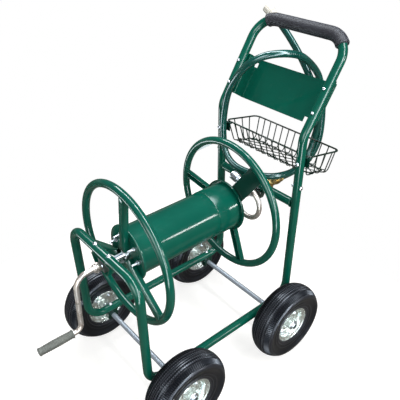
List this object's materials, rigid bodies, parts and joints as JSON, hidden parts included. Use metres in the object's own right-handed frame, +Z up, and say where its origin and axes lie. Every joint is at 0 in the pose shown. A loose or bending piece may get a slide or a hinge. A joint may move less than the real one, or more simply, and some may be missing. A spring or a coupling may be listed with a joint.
{
  "type": "hose reel cart",
  "caption": "Four-wheeled tube-frame cart with a crank-wound garden hose drum between tube rings, a push handle, a blank panel, a wire basket and a leader hose.",
  "frame": {"origin": "on the floor, under the middle of the cart's box without its leader hose", "axes": "+X from the crank to the push handle, +Y to the cart's left side, +Z up"},
  "size_m": [0.9957, 0.538, 0.9834],
  "materials": {
    "frame_paint": "gloss dark green powder coat",
    "reel_paint": "gloss dark green powder coat on the rings, spokes and drum",
    "dark_paint": "dark green powder coat on pressed brackets",
    "basket_wire": "black-green coated wire",
    "zinc": "bright zinc plating",
    "chrome": "bright plated rod and tube",
    "brass": "cast and turned brass",
    "connector": "pale brass",
    "rim": "bright zinc plated pressed steel",
    "tyre": "black ribbed rubber",
    "foam": "dark grey closed-cell foam",
    "crank_grip": "grey ribbed plastic",
    "nylon": "dark nylon bearing",
    "hose": "smooth glossy green hose"
  },
  "bodies": {
    "frame": {"frame_tube": "frame_paint", "rear_cross_tube": "frame_paint", "handle_tube": "frame_paint", "sign_panel": "frame_paint", "front_bearing_hanger": "dark_paint", "rear_bearing_hanger": "dark_paint", "basket_bracket_left": "dark_paint", "basket_bracket_right": "dark_paint", "front_axle_bracket_left": "dark_paint", "front_axle_cap_left": "zinc", "front_axle_bracket_right": "dark_paint", "front_axle_cap_right": "zinc", "front_axle": "zinc", "rear_axle_bracket_left": "dark_paint", "rear_axle_cap_left": "zinc", "rear_axle_bracket_right": "dark_paint", "rear_axle_cap_right": "zinc", "rear_axle": "zinc", "front_bearing_block": "nylon", "rear_bearing_block": "nylon", "hanger_bolt_left": "zinc", "handle_bolt_left": "zinc", "basket_bolt_left": "zinc", "panel_bolt_left_1": "zinc", "panel_bolt_left_2": "zinc", "hanger_bolt_right": "zinc", "handle_bolt_right": "zinc", "basket_bolt_right": "zinc", "panel_bolt_right_1": "zinc", "panel_bolt_right_2": "zinc", "foam_grip": "foam", "basket": "basket_wire", "hose_nut": "zinc", "inlet_swivel": "brass", "tap_connector": "connector", "leader_hose": "hose"},
    "reel": {"reel_shaft": "zinc", "front_ring": "reel_paint", "rear_ring": "reel_paint", "front_spoke_1": "reel_paint", "front_spoke_2": "reel_paint", "front_spoke_3": "reel_paint", "rear_spoke_1": "reel_paint", "rear_spoke_2": "reel_paint", "outlet_plate": "dark_paint", "front_drum_cap": "reel_paint", "rear_drum_cap": "reel_paint", "hose_drum": "reel_paint", "gooseneck": "chrome", "outlet_coupling": "zinc", "crank_arm": "chrome"},
    "crank_grip": {"crank_grip": "crank_grip"},
    "front_wheel_left": {"front_rim_left": "rim", "front_tyre_left": "tyre"},
    "front_wheel_right": {"front_rim_right": "rim", "front_tyre_right": "tyre"},
    "rear_wheel_left": {"rear_rim_left": "rim", "rear_tyre_left": "tyre"},
    "rear_wheel_right": {"rear_rim_right": "rim", "rear_tyre_right": "tyre"}
  },
  "joints": [
    {"name": "reel_spin", "type": "hinge", "parent": "frame", "child": "reel", "pos_m": [0, 0, 0.48], "axis": [1, 0, 0], "continuous": true},
    {"name": "crank_grip_spin", "type": "hinge", "parent": "reel", "child": "crank_grip", "pos_m": [-0.419, 0, 0.305], "axis": [1, 0, 0], "continuous": true},
    {"name": "front_wheel_left_spin", "type": "hinge", "parent": "frame", "child": "front_wheel_left", "pos_m": [-0.175, 0.227, 0.127], "axis": [0, 1, 0], "continuous": true},
    {"name": "front_wheel_right_spin", "type": "hinge", "parent": "frame", "child": "front_wheel_right", "pos_m": [-0.175, -0.227, 0.127], "axis": [0, 1, 0], "continuous": true},
    {"name": "rear_wheel_left_spin", "type": "hinge", "parent": "frame", "child": "rear_wheel_left", "pos_m": [0.232, 0.227, 0.127], "axis": [0, 1, 0], "continuous": true},
    {"name": "rear_wheel_right_spin", "type": "hinge", "parent": "frame", "child": "rear_wheel_right", "pos_m": [0.232, -0.227, 0.127], "axis": [0, 1, 0], "continuous": true}
  ]
}
